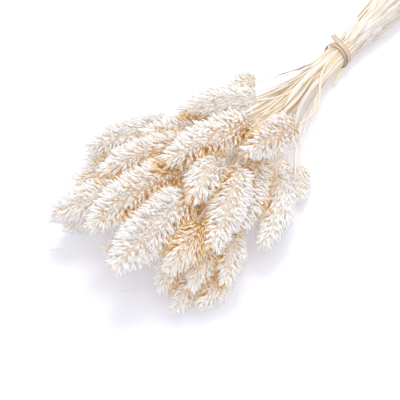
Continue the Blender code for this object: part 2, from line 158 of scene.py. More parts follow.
# Thin blades, half as thick at their edges
BLADE_THICK, BLADE_COLUMNS = 0.16 * MM, 7
BLADE_WAVES, EDGE_LOSS = (0.3, 0.8), 0.5

# Leaf blades: the four corners of a packed ring spread twice its half width
LEAF_SHARE, LEAF_POINTS = 0.5, 60
LEAF_START, LEAF_END = (0.15, 8), (0.08, 9)
LEAF_FOLD, LEAF_WAVE = 0.55, 0.18

# The strip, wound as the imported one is
STRIP_FACETS, STRIP_TURNS, STRIP_POINTS = 20, 1.75, 141
STRIP_CORE, STRIP_STEP, STRIP_FIT, STEP_FROM = 7.6 * MM, 1.05 * MM, 0.994, 0.5
STRIP_THICK, STRIP_WIDTH, STRIP_SHIFT = 0.75 * MM, 3.8 * MM, 1.7 * MM
STRIP_HALF_DEPTH, STRIP_FOLD, STRIP_WAVE = 0.34 * MM, -0.05, 0.03
STRIP_WEAR, WEAR_WINDOW = 0.10, 9
TAIL_REACH, TAIL_LIFT, TAIL_SHIFT, TAIL_POINTS = 9.0 * MM, 1.2 * MM, 2.0 * MM, 9

# Small bits: kind, half width, start, middle and end, all in millimetres
BIT_KINDS = ("pale", "green", "straw")
BIT_POINTS, BIT_KNOT, BIT_FOLD, BIT_WAVE, BIT_THICK = 30, 0.3, 0.3, 0.2, 0.6
BIT_FACING, BIT_START, BIT_END = (0.0, 0.3, 1.0), (0.3, 5), (0.1, 3)
BITS = [
    ("pale", 1.1, (-126.4, -31.9, 24.0), (-145.8, -35.1, 31.0), (-162.3, -37.0, 36.0)),
    ("pale", 1.3, (-135.0, -10.0, 50.0), (-145.4, -11.1, 55.0), (-155.9, -13.1, 59.5)),
    ("green", 1.1, (-40.0, -9.0, 6.0), (-48.6, -11.7, 3.4), (-53.4, -12.9, 1.4)),
    ("green", 0.8, (-84.1, -9.6, 30.0), (-86.3, -9.8, 30.2), (-89.2, -10.1, 30.0)),
    ("pale", 0.25, (-246.3, -29.5, 16.0), (-252.2, -21.1, 7.0), (-260.4, -10.1, 1.0)),
    ("pale", 0.30, (-260.0, 33.0, 4.0), (-263.5, 38.0, 1.8), (-264.5, 42.5, 0.8)),
    ("pale", 0.20, (-186.5, -39.4, 12.0), (-189.0, -42.9, 9.0), (-192.1, -44.7, 5.0)),
    ("straw", 0.8, (-187.1, -12.5, 30.0), (-199.3, -18.7, 24.0), (-211.2, -24.8, 18.0)),
    ("straw", 0.8, (-147.9, -14.4, 40.0), (-160.7, -14.2, 38.0), (-172.7, -12.0, 34.0)),
]

# The heads that differ: how far each one's tips stand out, as a share of its half width
PROUD_OF = {"stalk_01": 1.3, "stalk_02": 0.86, "stalk_24": 0.90, "stalk_25": 0.95, "stalk_28": 1.0}

# The stalks whose stem hardly shows: its share of the imported stem's thickness. These stems are also
# painted near-white, a painted highlight where bright light washes them out.
FAINT_STEMS = {"stalk_01": 0.5, "stalk_28": 0.34}

# How ochre a head is at its neck and at its tip, and the heads that differ: partly each head's own
# tone, partly painted shade for the necks and for heads lying in shade among the others
USUAL_WARMTH, WARMTH_PACE = (0.1, -0.1), 1.15
WARMTH = {
    "stalk_01": (0.2, 0.1),
    "stalk_02": (0.0, 0.4),
    "stalk_03": (0.0, -0.2),
    "stalk_04": (-0.9, -0.3),
    "stalk_05": (-0.2, -0.3),
    "stalk_06": (1.0, 0.5),
    "stalk_07": (1.0, 0.15),
    "stalk_08": (0.8, 0.05),
    "stalk_09": (0.7, 0.1),
    "stalk_10": (0.6, 0.0),
    "stalk_12": (0.8, 0.15),
    "stalk_13": (1.6, 1.0),
    "stalk_14": (0.0, -0.1),
    "stalk_16": (0.2, 0.0),
    "stalk_17": (1.4, 0.5),
    "stalk_18": (0.5, 0.05),
    "stalk_19": (0.4, 0.1),
    "stalk_20": (0.1, 0.0),
    "stalk_21": (-0.4, -0.2),
    "stalk_23": (0.8, 0.15),
    "stalk_25": (0.3, 0.1),
    "stalk_26": (0.6, 0.15),
    "stalk_27": (0.45, 0.1),
    "stalk_28": (-0.35, -0.4),
}

# Colours along a glume, from its base to its tip: darker and more ochre at the base, deep among the
# glumes, as painted warm shade
PALE_GLUME = [
    (0.0, (0.88, 0.68, 0.46)),
    (0.22, (0.89, 0.80, 0.70)),
    (0.42, (0.885, 0.845, 0.80)),
    (0.68, (0.89, 0.87, 0.86)),
    (1.0, (0.88, 0.88, 0.90)),
]
OCHRE_GLUME = [
    (0.0, (0.62, 0.28, 0.07)),
    (0.25, (0.84, 0.55, 0.28)),
    (0.48, (0.88, 0.75, 0.60)),
    (0.72, (0.88, 0.84, 0.79)),
    (1.0, (0.88, 0.87, 0.87)),
]
# The golden colours are painted shade, for heads deep in the shade among the others
GOLD_SHADE_GLUME = [
    (0.0, (0.42, 0.18, 0.04)),
    (0.35, (0.68, 0.35, 0.10)),
    (0.65, (0.84, 0.56, 0.25)),
    (1.0, (0.90, 0.75, 0.52)),
]
GLUME_TINTS = [(0.0, (0.92, 0.90, 0.88)), (0.5, (1.0, 1.0, 1.0)), (1.0, (1.0, 0.97, 0.93))]

# Colours of the stems and straws
STEM_STREAKS = [
    (0.25, (0.52, 0.37, 0.21)),
    (0.40, (0.71, 0.61, 0.47)),
    (0.55, (0.79, 0.73, 0.64)),
    (0.85, (0.87, 0.84, 0.79)),
]
STEM_BLOTCHES = [(0.35, (1.0, 1.0, 1.0)), (0.75, (0.97, 0.92, 0.82))]
# Near-white for the faint stems, a painted highlight where bright light washes them out
# Ochre for the knots, and for painted shade inside the bunch
STEM_KNOT_AND_SHADE, STEM_PAINTED_HIGHLIGHT = (0.70, 0.48, 0.24), (0.93, 0.92, 0.91)

# Colours of the leaf blades and the strip
LEAF_VEINS = [(0.3, (0.66, 0.60, 0.53)), (0.55, (0.80, 0.75, 0.70)), (0.8, (0.90, 0.87, 0.84))]
LEAF_STAINS = [(0.45, (1.0, 1.0, 1.0)), (0.75, (0.95, 0.86, 0.68))]
PALE_TINT, GREEN_TINT = (1.0, 1.0, 1.0), (1.0, 1.0, 0.66)
STRIP_FIBRES = [(0.25, (0.42, 0.28, 0.17)), (0.5, (0.58, 0.43, 0.31)), (0.8, (0.68, 0.54, 0.42))]
STRIP_EDGES = [(0.7, (1.0, 1.0, 1.0)), (1.0, (0.55, 0.42, 0.30))]

# How far apart the noises are read, for each of the values that go into them
STREAK_STEPS, BLOTCH_STEPS = (1.6, 0.02, 40.0), (0.06, 60.0)
VEIN_STEPS, FIBRE_STEPS = (9.0, 0.03, 30.0), (7.0, 0.05)
NOISE_ROUGHNESS = 0.55
# The knot share also scales the painted shade inside the bunch
MOTTLE, KNOT_AND_SHADE_SHARE = 0.9, 0.8

# Shader sockets, and light through dry tissue
MIX_FACTOR, MIX_A, MIX_B, MIX_RESULT = 0, 6, 7, 2
SPECULAR = 0.25
TISSUE_RADIUS = (1.0, 0.97, 0.94)

# The floor and the light from all round
FLOOR_REACH, FLOOR_HEIGHT = 12.0, -0.2 * MM
FLOOR_COLOUR, FLOOR_ROUGHNESS = (0.77, 0.762, 0.82, 1.0), 0.9
WORLD_COLOUR, WORLD_STRENGTH = (0.965, 0.975, 1.0), 0.66

# Lights: name, place, width, power, colour, and whether it casts shadows
LIGHT_TARGET = (-0.1, 0.0, 0.0)
LIGHTS = [
    ("key", (0.55, 0.45, 1.65), 0.80, 15.5, (0.98, 0.985, 1.0), True),
    ("top_fill", (-0.1, 0.3, 1.75), 1.4, 11.0, (0.99, 0.99, 0.99), False),
    ("front_fill", (-0.8, -0.5, 1.6), 1.4, 7.0, (0.98, 0.985, 1.0), False),
    ("side_fill", (0.4, -1.0, 1.4), 1.4, 3.5, (0.98, 0.985, 1.0), False),
]

# The camera, its angles in degrees
CAMERA_PLACE = (-0.452724, -0.223213, 0.446666)
CAMERA_AZIMUTH, CAMERA_ELEVATION = -51.0, 52.0
LENS, SENSOR, CLIP_START = 85.0, 36.0, 0.01
VIEW_GAMMA = 1.25


def smooth(u):
    """Runs from 0 to 1, level at both ends."""
    u = np.clip(u, 0.0, 1.0)
    return u * u * (3.0 - 2.0 * u)


def widen(u, least, pace):
    """Grows from least at the given pace, up to 1."""
    return np.minimum(1.0, least + pace * u)


def sharpen(u, least, pace):
    """Grows from nothing at the given pace, up to 1, but is never under least."""
    return np.clip(pace * u, least, 1.0)


def unit(v):
    """Each vector, made one long."""
    return v / np.maximum(np.linalg.norm(v, axis=-1, keepdims=True), TINY)


def cross_ways(way):
    """Two directions across the given ones, the first of them level."""
    side = unit(np.cross(way, UP))
    return side, np.cross(way, side)


def around(side, up, turn):
    """Directions out from a line, one at each of the angles turn about it."""
    return side * np.cos(turn)[:, None] + up * np.sin(turn)[:, None]


def circles(side, up, count):
    """Directions out from each point of a line, evenly all round it, and their angles."""
    angles = 2 * math.pi * np.arange(count) / count
    c = np.cos(angles)[None, :, None]
    s = np.sin(angles)[None, :, None]
    return side[:, None] * c + up[:, None] * s, angles


def off_floor(points):
    """Points below the surface that the bunch lies on are raised to it."""
    points[..., 2] = np.maximum(points[..., 2], FLOOR_GAP)
    return points


# Lines


def polynomial(places, points, degree):
    """A smooth line through the points: coefficients for each of x, y and z."""
    return [np.polyfit(places, points[:, axis], degree) for axis in range(3)]


def on_line(line, t):
    """Places and directions at t on a polynomial line."""
    place = np.stack([np.polyval(c, t) for c in line], axis=-1)
    way = np.stack([np.polyval(np.polyder(c), t) for c in line], axis=-1)
    return place, way


def distances(points):
    """How far along a line of points each of them lies."""
    steps = np.linalg.norm(np.diff(points, axis=0), axis=1)
    return np.concatenate([[0], np.cumsum(steps)])


def even_line(points, count):
    """Even places on a smooth line, and how far along it they and the given points lie."""
    reach = distances(points)
    slope = np.gradient(points, reach, axis=0)
    s = np.linspace(0, reach[-1], count)
    k = np.clip(np.searchsorted(reach, s, side="right") - 1, 0, len(points) - 2)
    step = (reach[k + 1] - reach[k])[:, None]
    u = (s - reach[k])[:, None] / step
    line = (
        (2 * u**3 - 3 * u**2 + 1) * points[k]
        + (u**3 - 2 * u**2 + u) * step * slope[k]
        + (3 * u**2 - 2 * u**3) * points[k + 1]
        + (u**3 - u**2) * step * slope[k + 1]
    )
    return line, s, reach


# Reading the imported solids


def rings_of(name, drop_valence=None):
    """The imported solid's points, ring by ring from its cut end."""
    bm = bmesh.new()
    bm.from_mesh(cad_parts[name].data)
    bmesh.ops.remove_doubles(bm, verts=bm.verts, dist=MERGE_DISTANCE)
    bm.verts.index_update()
    kept = {v for v in bm.verts if len(v.link_edges) != drop_valence}
    end = max(v.co.x for v in kept)
    layer = {v for v in kept if v.co.x > end - END_DEPTH}
    seen = set()
    rings = []
    while layer:
        ordered = sorted(layer, key=lambda v: v.index)
        rings.append(np.array([tuple(v.co) for v in ordered]))
        seen |= layer
        layer = {e.other_vert(v) for v in layer for e in v.link_edges} & kept - seen
    bm.free()
    return rings


def centres_of(rings):
    """The middle of each ring."""
    return np.array([ring.mean(axis=0) for ring in rings])


def spread_of(ring):
    """How far each of a ring's points lies from its centre."""
    return np.linalg.norm(ring - ring.mean(axis=0), axis=1)


def outline(t):
    """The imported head's radius at t, from its neck (0) to its tip (1), as a share of its widest."""
    t = np.clip(t, 0.0, 1.0)
    full = np.maximum(np.sin(np.pi * t**HEAD_LEAN), 0.0)
    return np.maximum(HEAD_LEAST, full**HEAD_FULLNESS)


class Stalk:
    """The stem's centres and the head's axis and size, read from a packed stalk."""

    def __init__(self, name):
        self.name = name
        rings = rings_of(name, SPIKELET_VALENCE)
        stem, head = rings[:STEM_RINGS], rings[STEM_RINGS:]
        self.stem = centres_of(stem)
        self.radii = np.array([spread_of(ring).max() for ring in stem])
        places = np.append(np.linspace(HEAD_FIRST, HEAD_LAST, len(head) - 1), HEAD_POINT)
        spreads = np.array([spread_of(ring).mean() for ring in head[:-1]])
        self.half = float(np.median(spreads / outline(places[:-1]))) / CORE_SHARE
        points = np.vstack([self.stem[-1:], centres_of(head)])
        self.axis = polynomial(np.append(0.0, places), points, AXIS_DEGREE)
        _, way = on_line(self.axis, np.linspace(0, 1, AXIS_SAMPLES))
        self.length = float(np.linalg.norm(way, axis=1).mean())

    def at(self, t):
        """Place, direction and two cross directions at t on the head."""
        place, way = on_line(self.axis, t)
        way = unit(way)
        return place, way, *cross_ways(way)


# Meshes


class Pile:
    """Collects points, faces, materials and point values of one mesh."""

    def __init__(self):
        self.points, self.faces, self.materials = [], [], []
        self.values = {"along": [], "tone": [], "warm": [], "grain": []}
        self.count = 0

    def add(self, points, faces, material, **values):
        """points is (n, 3); faces is a list of arrays of triangles or quads."""
        self.points.append(points)
        for group in faces:
            self.faces.append(group + self.count)
            self.materials.append(np.full(len(group), material))
        for key, collected in self.values.items():
            value = np.broadcast_to(values.get(key, 0.0), len(points))
            collected.append(value.astype(np.float32))
        self.count += len(points)

    def to_object(self, name, materials):
        """Makes the mesh, with its point values as attributes, and its object."""
        points = np.vstack(self.points)
        loops = np.concatenate([f.ravel() for f in self.faces])
        sizes = np.concatenate([np.full(len(f), f.shape[1]) for f in self.faces])
        starts = np.concatenate([[0], np.cumsum(sizes)[:-1]])
        indices = np.concatenate(self.materials)
        mesh = bpy.data.meshes.new(name)
        mesh.vertices.add(len(points))
        mesh.vertices.foreach_set("co", points.astype(np.float32).ravel())
        mesh.loops.add(len(loops))
        mesh.loops.foreach_set("vertex_index", loops.astype(np.int32))
        mesh.polygons.add(len(sizes))
        mesh.polygons.foreach_set("loop_start", starts.astype(np.int32))
        mesh.polygons.foreach_set("material_index", indices.astype(np.int32))
        mesh.update(calc_edges=True)
        mesh.shade_smooth()
        for key, value in self.values.items():
            layer = mesh.attributes.new(key, "FLOAT", "POINT")
            layer.data.foreach_set("value", np.concatenate(value))
        for material in materials:
            mesh.materials.append(material)
        obj = bpy.data.objects.new(name, mesh)
        bpy.context.scene.collection.objects.link(obj)
        return obj


def tube_faces(rings, sides):
    """Faces of a tube of rings of sides points each, with its last two points as its ends."""
    k = np.arange(sides)
    m = (k + 1) % sides
    quads = []
    for r in range(rings - 1):
        low, high = r * sides, (r + 1) * sides
        quads.append(np.stack([low + k, low + m, high + m, high + k], axis=1))
    start, end = rings * sides, rings * sides + 1
    top = (rings - 1) * sides
    first_lid = np.stack([m, k, np.full(sides, start)], axis=1)
    last_lid = np.stack([top + k, top + m, np.full(sides, end)], axis=1)
    return [np.vstack(quads), np.vstack([first_lid, last_lid])]


def with_ends(rings):
    """The points of a tube's rings, and then the middles of its first and last ring."""
    ends = [rings[0].mean(axis=0), rings[-1].mean(axis=0)]
    return np.vstack([rings.reshape(-1, 3), ends])


# Heads


def plump(t):
    """The glumes' reach at t: nearly a cylinder, with a round neck end and a long tip."""
    t = np.clip(t, 0.0, 1.0)
    neck = np.sqrt(np.clip(1 - (1 - np.minimum(t / NECK_END, 1.0)) ** 2, 0.0, 1.0))
    tip = 1 - TIP_LOSS * np.clip((t - TIP_START) / (1 - TIP_START), 0.0, 1.0) ** TIP_POWER
    return np.maximum(LEAST_PLUMP, neck * tip)


def core_share(t):
    """The core's radius as a share of the glumes' reach."""
    return SLIM_CORE + (TIP_CORE - SLIM_CORE) * smooth((t - SLIMMING_FROM) / SLIMMING_OVER)


def head_surface(stalk, t):
    """The radius that the glumes' tips reach, at t."""
    return stalk.half * PROUD_OF.get(stalk.name, PROUD) * np.maximum(plump(t), BRUSH)


def head_warmth(name):
    """How ochre a head is, from its neck to its tip: partly its own tone, partly painted shade."""
    neck, tip = WARMTH.get(name, USUAL_WARMTH)
    return lambda t: neck + (tip - neck) * smooth(t * WARMTH_PACE)


def nearness(points, others):
    """How closely the other heads crowd each point, from 0 (in the open) to 1. Where they crowd, the
    head is painted ochre as painted shade.
    """
    t = np.linspace(0.0, 1.0, CROWD_SAMPLES)
    closest = np.full(len(points), FAR)
    for other in others:
        place, _ = on_line(other.axis, t)
        reach = other.half * plump(t)
        gap = np.linalg.norm(points[:, None] - place[None], axis=2) - reach[None]
        closest = np.minimum(closest, gap.min(axis=1))
    return smooth(1.0 - (closest + CROWD_DEPTH) / CROWD_REACH)


def glume_count(stalk, scale):
    """How many pairs of glumes cover the head."""
    t = np.linspace(0, 1, AREA_SAMPLES)
    mean_radius = float(np.mean(stalk.half * np.maximum(plump(t), LEAST_COVER)))
    area = 2 * math.pi * stalk.length * mean_radius
    return int(area / (SPIKELET_AREA * scale))


def spread_places(count):
    """Places on a head's surface: t along it and the angle about it. They open towards the tip."""
    t = np.linspace(0.0, 1.0, PLACE_SAMPLES)
    closeness = CLOSE_SET - OPENS_BY * smooth((t - OPENS_FROM) / OPENS_OVER)
    area = np.maximum(plump(t), LEAST_COVER) * closeness
    share = np.concatenate([[0], np.cumsum((area[1:] + area[:-1]) / 2)])
    share /= share[-1]
    q = (np.arange(count) + 0.5) / count
    return np.interp(q, share, t), np.arange(count) * GOLDEN_ANGLE


def reach_surface(stalk, low, length, inner):
    """How far out and how far ahead a glume of each length meets the head's surface."""
    ahead = length * FIRST_GUESS
    for _ in range(SURFACE_ROUNDS):
        outer = head_surface(stalk, low + ahead / stalk.length)
        rise = np.clip(outer - inner, -LEAST_RUN * length, MOST_RISE * length)
        ahead = np.sqrt(np.maximum(length**2 - rise**2, (LEAST_RUN * length) ** 2))
    return outer, ahead


def ruffle(outer, ahead, rng):
    """Makes the tips uneven, and lets some glumes stand off the head."""
    count = len(outer)
    outer = outer * (1 + rng.normal(0, REACH_SPREAD, count))
    outer = outer + rng.gamma(STRAY_SHAPE, STRAY, count) - STRAY_BACK
    loose = (rng.random(count) < LOOSE_SHARE) * rng.uniform(LOOSE_LEAST, 1.0, count)
    return outer + loose * LOOSE_OUT, ahead * (1 - LOOSE_BACK * loose)


def place_glumes(stalk, low, turn, length, rng):
    """Each pair's base, knee and tip, and the directions out from and along the head there."""
    inner = np.maximum(core_share(low) * stalk.half * plump(low), LEAST_INNER)
    outer, ahead = reach_surface(stalk, low, length, inner)
    outer, ahead = ruffle(outer, ahead, rng)
    start, way, side, up = stalk.at(low)
    end, _, end_side, end_up = stalk.at(np.minimum(low + ahead / stalk.length, LAST_TIP))
    out = around(side, up, turn)
    end_out = around(end_side, end_up, turn + rng.normal(0, TIP_TURN_SPREAD, len(low)))
    base = start + out * inner[:, None]
    tip = end + end_out * outer[:, None]
    bulge = (length * rng.normal(BULGE, BULGE_SPREAD, len(low)))[:, None]
    rise = ((tip - base) * out).sum(-1, keepdims=True)
    run = ((tip - base) * way).sum(-1, keepdims=True)
    knee = base + out * (rise * KNEE_OUT + bulge) + way * run * KNEE_AHEAD
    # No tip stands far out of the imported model's box
    tip = np.clip(tip, np.array(cad_box[0]) - PAST_BOX, np.array(cad_box[1]) + PAST_BOX)
    return base, knee, tip, out, way


def glume_points(base, knee, tip, keel, size, side):
    """The points of one keeled boat for each row: a ring at each station, then its two ends."""
    s = np.append(GLUME_STATIONS, [0.0, 1.0])[None, :, None]
    size = size[:, None, None]
    line = (1 - s) ** 2 * base[:, None] + 2 * s * (1 - s) * knee[:, None] + s * s * tip[:, None]
    way = unit((1 - s) * (knee - base)[:, None] + s * (tip - knee)[:, None])
    deep = unit(keel[:, None] - way * (keel[:, None] * way).sum(-1, keepdims=True))
    flank = np.cross(way, deep)
    # The two glumes of a pair lie side by side and open towards their tips
    line = line + flank * (PAIR_APART + PAIR_OPENS * s**PAIR_POWER) * size * side
    swell = GLUME_SWELL[None, :, None] * size / 2
    middle, ends = line[:, :-2], line[:, -2:]
    d = deep[:, :-2] * GLUME_DEPTH * swell
    f = flank[:, :-2] * GLUME_THICK * swell
    back = d * FLANK_BACK
    corners = np.stack([middle + d, middle + f - back, middle - d, middle - f - back], axis=2)
    points = np.concatenate([corners.reshape(len(base), -1, 3), ends], axis=1)
    # Nothing reaches below the surface that the bunch lies on
    lift = np.maximum(FLOOR_GAP - points[:, :, 2].min(axis=1), 0.0)
    points[:, :, 2] += lift[:, None]
    return points


def add_glumes(pile, material, points, tone, warm):
    """Adds one closed boat for each row of points."""
    count, per = points.shape[:2]
    shift = (np.arange(count) * per)[:, None, None]
    faces = []
    for group in tube_faces(len(GLUME_STATIONS), GLUME_SIDES):
        faces.append((group[None] + shift).reshape(-1, group.shape[1]))
    along = np.append(np.repeat(GLUME_STATIONS, GLUME_SIDES), [0.0, 1.0])
    pile.add(
        points.reshape(-1, 3),
        faces,
        material,
        along=np.tile(along, count),
        tone=np.repeat(tone, per),
        warm=np.repeat(warm, per),
    )


def grow_head(pile, material, stalk, others, rng):
    """Pairs of glumes all over a head, swept forward."""
    scale = math.sqrt(stalk.half / USUAL_HALF)
    count = glume_count(stalk, scale)
    place, turn = spread_places(count)
    low = FIRST_GLUME + place * GLUME_SPAN
    turn = turn + rng.normal(0, TURN_SPREAD, count)
    length = GLUME_LENGTH * scale * rng.normal(1.0, LENGTH_SPREAD, count)
    base, knee, tip, out, way = place_glumes(stalk, low, turn, length, rng)
    twist = rng.normal(0, KEEL_SPREAD, count)
    keel = around(out, np.cross(way, out), twist)
    grown = 1 + GROWS_BY * smooth((low - GROWS_FROM) / GROWS_OVER)
    size = scale * rng.normal(1.0, SIZE_SPREAD, count) * grown
    tone = rng.random(count)
    # Painted shade: more ochre where other heads crowd the glume tips
    warm = head_warmth(stalk.name)(low) + CROWD_SHADE * nearness(tip, others)
    warm = warm + rng.normal(0, WARMTH_SPREAD, count)
    for side in (-1.0, 1.0):
        slip = rng.normal(0, TIP_SLIP, (count, 3))
        points = glume_points(base, knee, tip + slip, keel, size, side)
        add_glumes(pile, material, points, tone, warm)


def grow_core(pile, material, stalk, others):
    """The head's closed inner body, which the glumes stand on."""
    t = np.linspace(0.0, CORE_END, CORE_RINGS)
    place, _, side, up = stalk.at(t)
    radius = np.maximum(stalk.half * plump(t) * (core_share(t) + CORE_OVERLAP), LEAST_CORE)
    radius[0] = CORE_NECK
    out, _ = circles(side, up, CORE_SIDES)
    rings = off_floor(place[:, None] + radius[:, None, None] * out).reshape(-1, 3)
    warm = np.repeat(head_warmth(stalk.name)(t), CORE_SIDES)
    # Painted shade: more ochre where other heads crowd the core
    warm = warm + CROWD_SHADE * nearness(rings, others)
    warm = np.append(warm, [warm[0], warm[-1]])
    points = np.vstack([rings, place[:1], place[-1:]])
    faces = tube_faces(CORE_RINGS, CORE_SIDES)
    pile.add(points, faces, material, along=CORE_ALONG, tone=CORE_TONE, warm=warm)


# Stems and straws


def painted_shade_depth(line, out, cloud):
    """How deep inside the bunch each place on a stem's surface lies, from 0 to 1. It is painted ochre
    there as painted shade.
    """
    places = line[:, None] + out * COVER_OUT
    near = np.zeros(places.shape[:2])
    for k in range(places.shape[1]):
        apart = np.linalg.norm(places[:, k, None] - cloud[None], axis=2)
        near[:, k] = (apart < COVER_REACH).sum(axis=1)
    return smooth(near / COVER_FULL)


def grow_tube(pile, material, line, s, radius, knots, tone, cloud):
    """A stem or straw along a line, a little thicker and darker at its knots, with ochre painted
    shade where the bunch covers it.
    """
    bump = sum(np.exp(-(((s - knot) / KNOT_LENGTH) ** 2)) for knot in knots)
    radius = radius * (1 + KNOT_SWELL * bump)
    side, up = cross_ways(unit(np.gradient(line, axis=0)))
    out, angles = circles(side, up, TUBE_SIDES)
    rings = off_floor(line[:, None] + radius[:, None, None] * out)
    # The knots' own colour, plus painted shade deep in the bunch
    warm = np.clip(KNOT_TINT * bump[:, None] + painted_shade_depth(line, out, cloud), 0, 1)
    pile.add(
        with_ends(rings),
        tube_faces(len(s), TUBE_SIDES),
        material,
        along=np.append(np.repeat(s, TUBE_SIDES), [s[0], s[-1]]) / MM,
        tone=tone,
        warm=np.append(warm.ravel(), [0.0, 0.0]),
        grain=np.append(np.tile(angles, len(s)), [0.0, 0.0]),
    )


def grow_stem(pile, material, stalk, cloud, rng):
    """A stalk's own stem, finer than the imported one, with two knots."""
    line, s, reach = even_line(stalk.stem, STEM_POINTS)
    radius = np.interp(s, reach, stalk.radii) * FAINT_STEMS.get(stalk.name, STEM_SHARE)
    knots = [reach[-1] * rng.uniform(*span) for span in STEM_KNOTS]
    grow_tube(pile, material, line, s, radius, knots, rng.random(), cloud)


def grow_straw(pile, material, points, cloud, rng):
    """A thin straw: it wanders a little, and its front end runs out to a point."""
    line, s, _ = even_line(points, STRAW_POINTS)
    free = smooth(np.abs(line[:, 0] - points[TIE_RING, 0]) / STRAW_FREE)
    for axis in (1, 2):
        wander = np.sin(s / (rng.uniform(*STRAW_WAVES) * MM) + rng.uniform(*STRAW_PHASES))
        line[:, axis] += wander * free * rng.uniform(*STRAW_SWINGS) * MM
    radius = STRAW_RADIUS * rng.uniform(*STRAW_SIZES) * widen(1 - s / s[-1], *STRAW_END)
    line[:, 2] = np.maximum(line[:, 2], radius + FLOOR_GAP)
    knots = [s[-1] * rng.uniform(*STRAW_KNOTS)]
    grow_tube(pile, material, line, s, radius, knots, rng.random(), cloud)


def between(first, second, share):
    """The line between two stalks' stems."""
    return first.stem * (1 - share) + second.stem * share


def at_tie(line):
    """Where a line passes through the strip."""
    return line[TIE_RING : TIE_RING + 2].mean(axis=0)


def pair_lines(stalks, middle, rng):
    """Lines of straws between neighbouring stems, in their order round the bunch."""
    necks = np.array([stalk.stem[-1] for stalk in stalks])
    order = np.argsort(np.arctan2(necks[:, 1] - middle[1], middle[0] - necks[:, 0]))
    behind = np.clip(TIE_RING - np.arange(STEM_RINGS), 0, None)[:, None]
    lines = []
    for k in range(PAIR_STRAWS):
        first = k * PAIR_STRIDE % (len(order) - NEXT_STEMS)
        second = first + rng.integers(1, NEXT_STEMS + 1)
        line = between(stalks[order[first]], stalks[order[second]], rng.uniform(*PAIR_SHARES))
        outwards = (line - middle) * [0.0, 1.0, 1.0]
        line = line + outwards * behind * PAIR_OPENING
        lines.append(line[: rng.integers(*PAIR_RINGS)])
    return lines


def rim_lines(stalks, middle, rng):
    """Lines of straws all round the bunch, just inside the strip."""
    passes = np.array([at_tie(stalk.stem) for stalk in stalks])
    ahead = np.arange(STEM_RINGS) - TIE_RING
    held = np.where(ahead <= 0, 1 - RIM_OPENING * ahead, 1 - ahead / RIM_CLOSING)
    held = np.clip(held, 0, None)[:, None]
    lines = []
    for angle in np.linspace(0, 2 * math.pi, RIM_STRAWS, endpoint=False):
        place = middle + RIM_RADIUS * np.array([0.0, math.cos(angle), math.sin(angle)])
        near = np.argsort(np.linalg.norm(passes - place, axis=1))
        second = near[rng.integers(1, NEXT_STEMS + 1)]
        line = between(stalks[near[0]], stalks[second], rng.uniform(*RIM_SHARES))
        line = line + (place - at_tie(line)) * held
        lines.append(line[:RIM_RINGS])
    return lines


def make_straws(stalks, material, cloud):
    """Thin straws that the strip holds, between the stems and round them."""
    rng = np.random.default_rng(STRAW_SEED)
    pile = Pile()
    middle = np.mean([at_tie(stalk.stem) for stalk in stalks], axis=0)
    lines = pair_lines(stalks, middle, rng)
    lines += rim_lines(stalks, middle, rng)
    for line in lines:
        grow_straw(pile, 0, line, cloud, rng)
    obj = pile.to_object("loose_straws", [material])
    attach(obj, "root")


def make_stalk(stalk, others, materials, cloud):
    """A finer stem and head in place of a packed stalk."""
    rng = np.random.default_rng(SEED + int(stalk.name[-2:]))
    pile = Pile()
    grow_stem(pile, 0, stalk, cloud, rng)
    grow_core(pile, 1, stalk, others)
    grow_head(pile, 1, stalk, others, rng)
    obj = pile.to_object(stalk.name.replace("stalk", "grass"), materials)
    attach(obj, "root")
    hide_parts(stalk.name)


# Blades, sheaths, the strip and small bits


def grow_blade(pile, material, line, across, half, fold, wave, rng, thick=BLADE_THICK):
    """A thin blade along a line: folded along its middle, its edges waving and thinner."""
    count = len(line)
    way = unit(np.gradient(line, axis=0))
    across = unit(across - way * (across * way).sum(-1, keepdims=True))
    out = np.cross(way, across)
    profile = np.linspace(-1, 1, BLADE_COLUMNS)
    swing = wave * np.sin(np.cumsum(rng.uniform(*BLADE_WAVES, count)))
    rise = fold * np.abs(profile)[None] + swing[:, None] * (profile * np.abs(profile))[None]
    shape = across[:, None] * profile[None, :, None] + out[:, None] * rise[:, :, None]
    row = line[:, None] + half[:, None, None] * shape
    depth = out[:, None] * (thick * (1 - EDGE_LOSS * profile**2))[None, :, None]
    lower, upper = row - depth, row + depth
    rings = off_floor(np.concatenate([lower, upper[:, ::-1]], axis=1))
    sides = rings.shape[1]
    s = distances(line)
    pile.add(
        with_ends(rings),
        tube_faces(count, sides),
        material,
        along=np.append(np.repeat(s, sides), [0.0, s[-1]]) / MM,
        tone=rng.random(),
        grain=np.append(np.tile(np.append(profile, profile[::-1]), count), [0.0, 0.0]),
    )


def grow_sheath(pile, k, back, middle, rng):
    """One crumpled sheath, which curls away from the stems behind the strip."""
    u = np.linspace(0, 1, SHEATH_POINTS)
    angle = math.radians(rng.uniform(*(TOP_ANGLES if k < TOP_SHEATHS else OTHER_ANGLES)))
    start = rng.uniform(*SHEATH_STARTS) * MM
    reach = rng.uniform(*SHEATH_LENGTHS) * MM
    curl = rng.uniform(*SHEATH_CURLS) * MM
    turn = angle + rng.normal(0, SHEATH_TURN) * u
    x = start + reach * u
    radius = SHEATH_RADIUS + SHEATH_SPREAD * x + curl * u**CURL_POWER
    radius = radius + RIPPLE * np.sin(RIPPLES * u + k)
    y = middle[1] + radius * np.cos(turn)
    z = middle[2] + SHEATH_RISE * x + radius * np.sin(turn)
    line = np.stack([back + x, y, z], axis=1)
    across = np.stack([0 * u, -np.sin(turn), np.cos(turn)], axis=1)
    taper = widen(u, *SHEATH_START) * sharpen(1 - u, *SHEATH_END) ** END_POWER
    half = rng.uniform(*SHEATH_HALVES) * MM * taper
    grow_blade(pile, 0, line, across, half, SHEATH_FOLD, SHEATH_WAVE, rng)


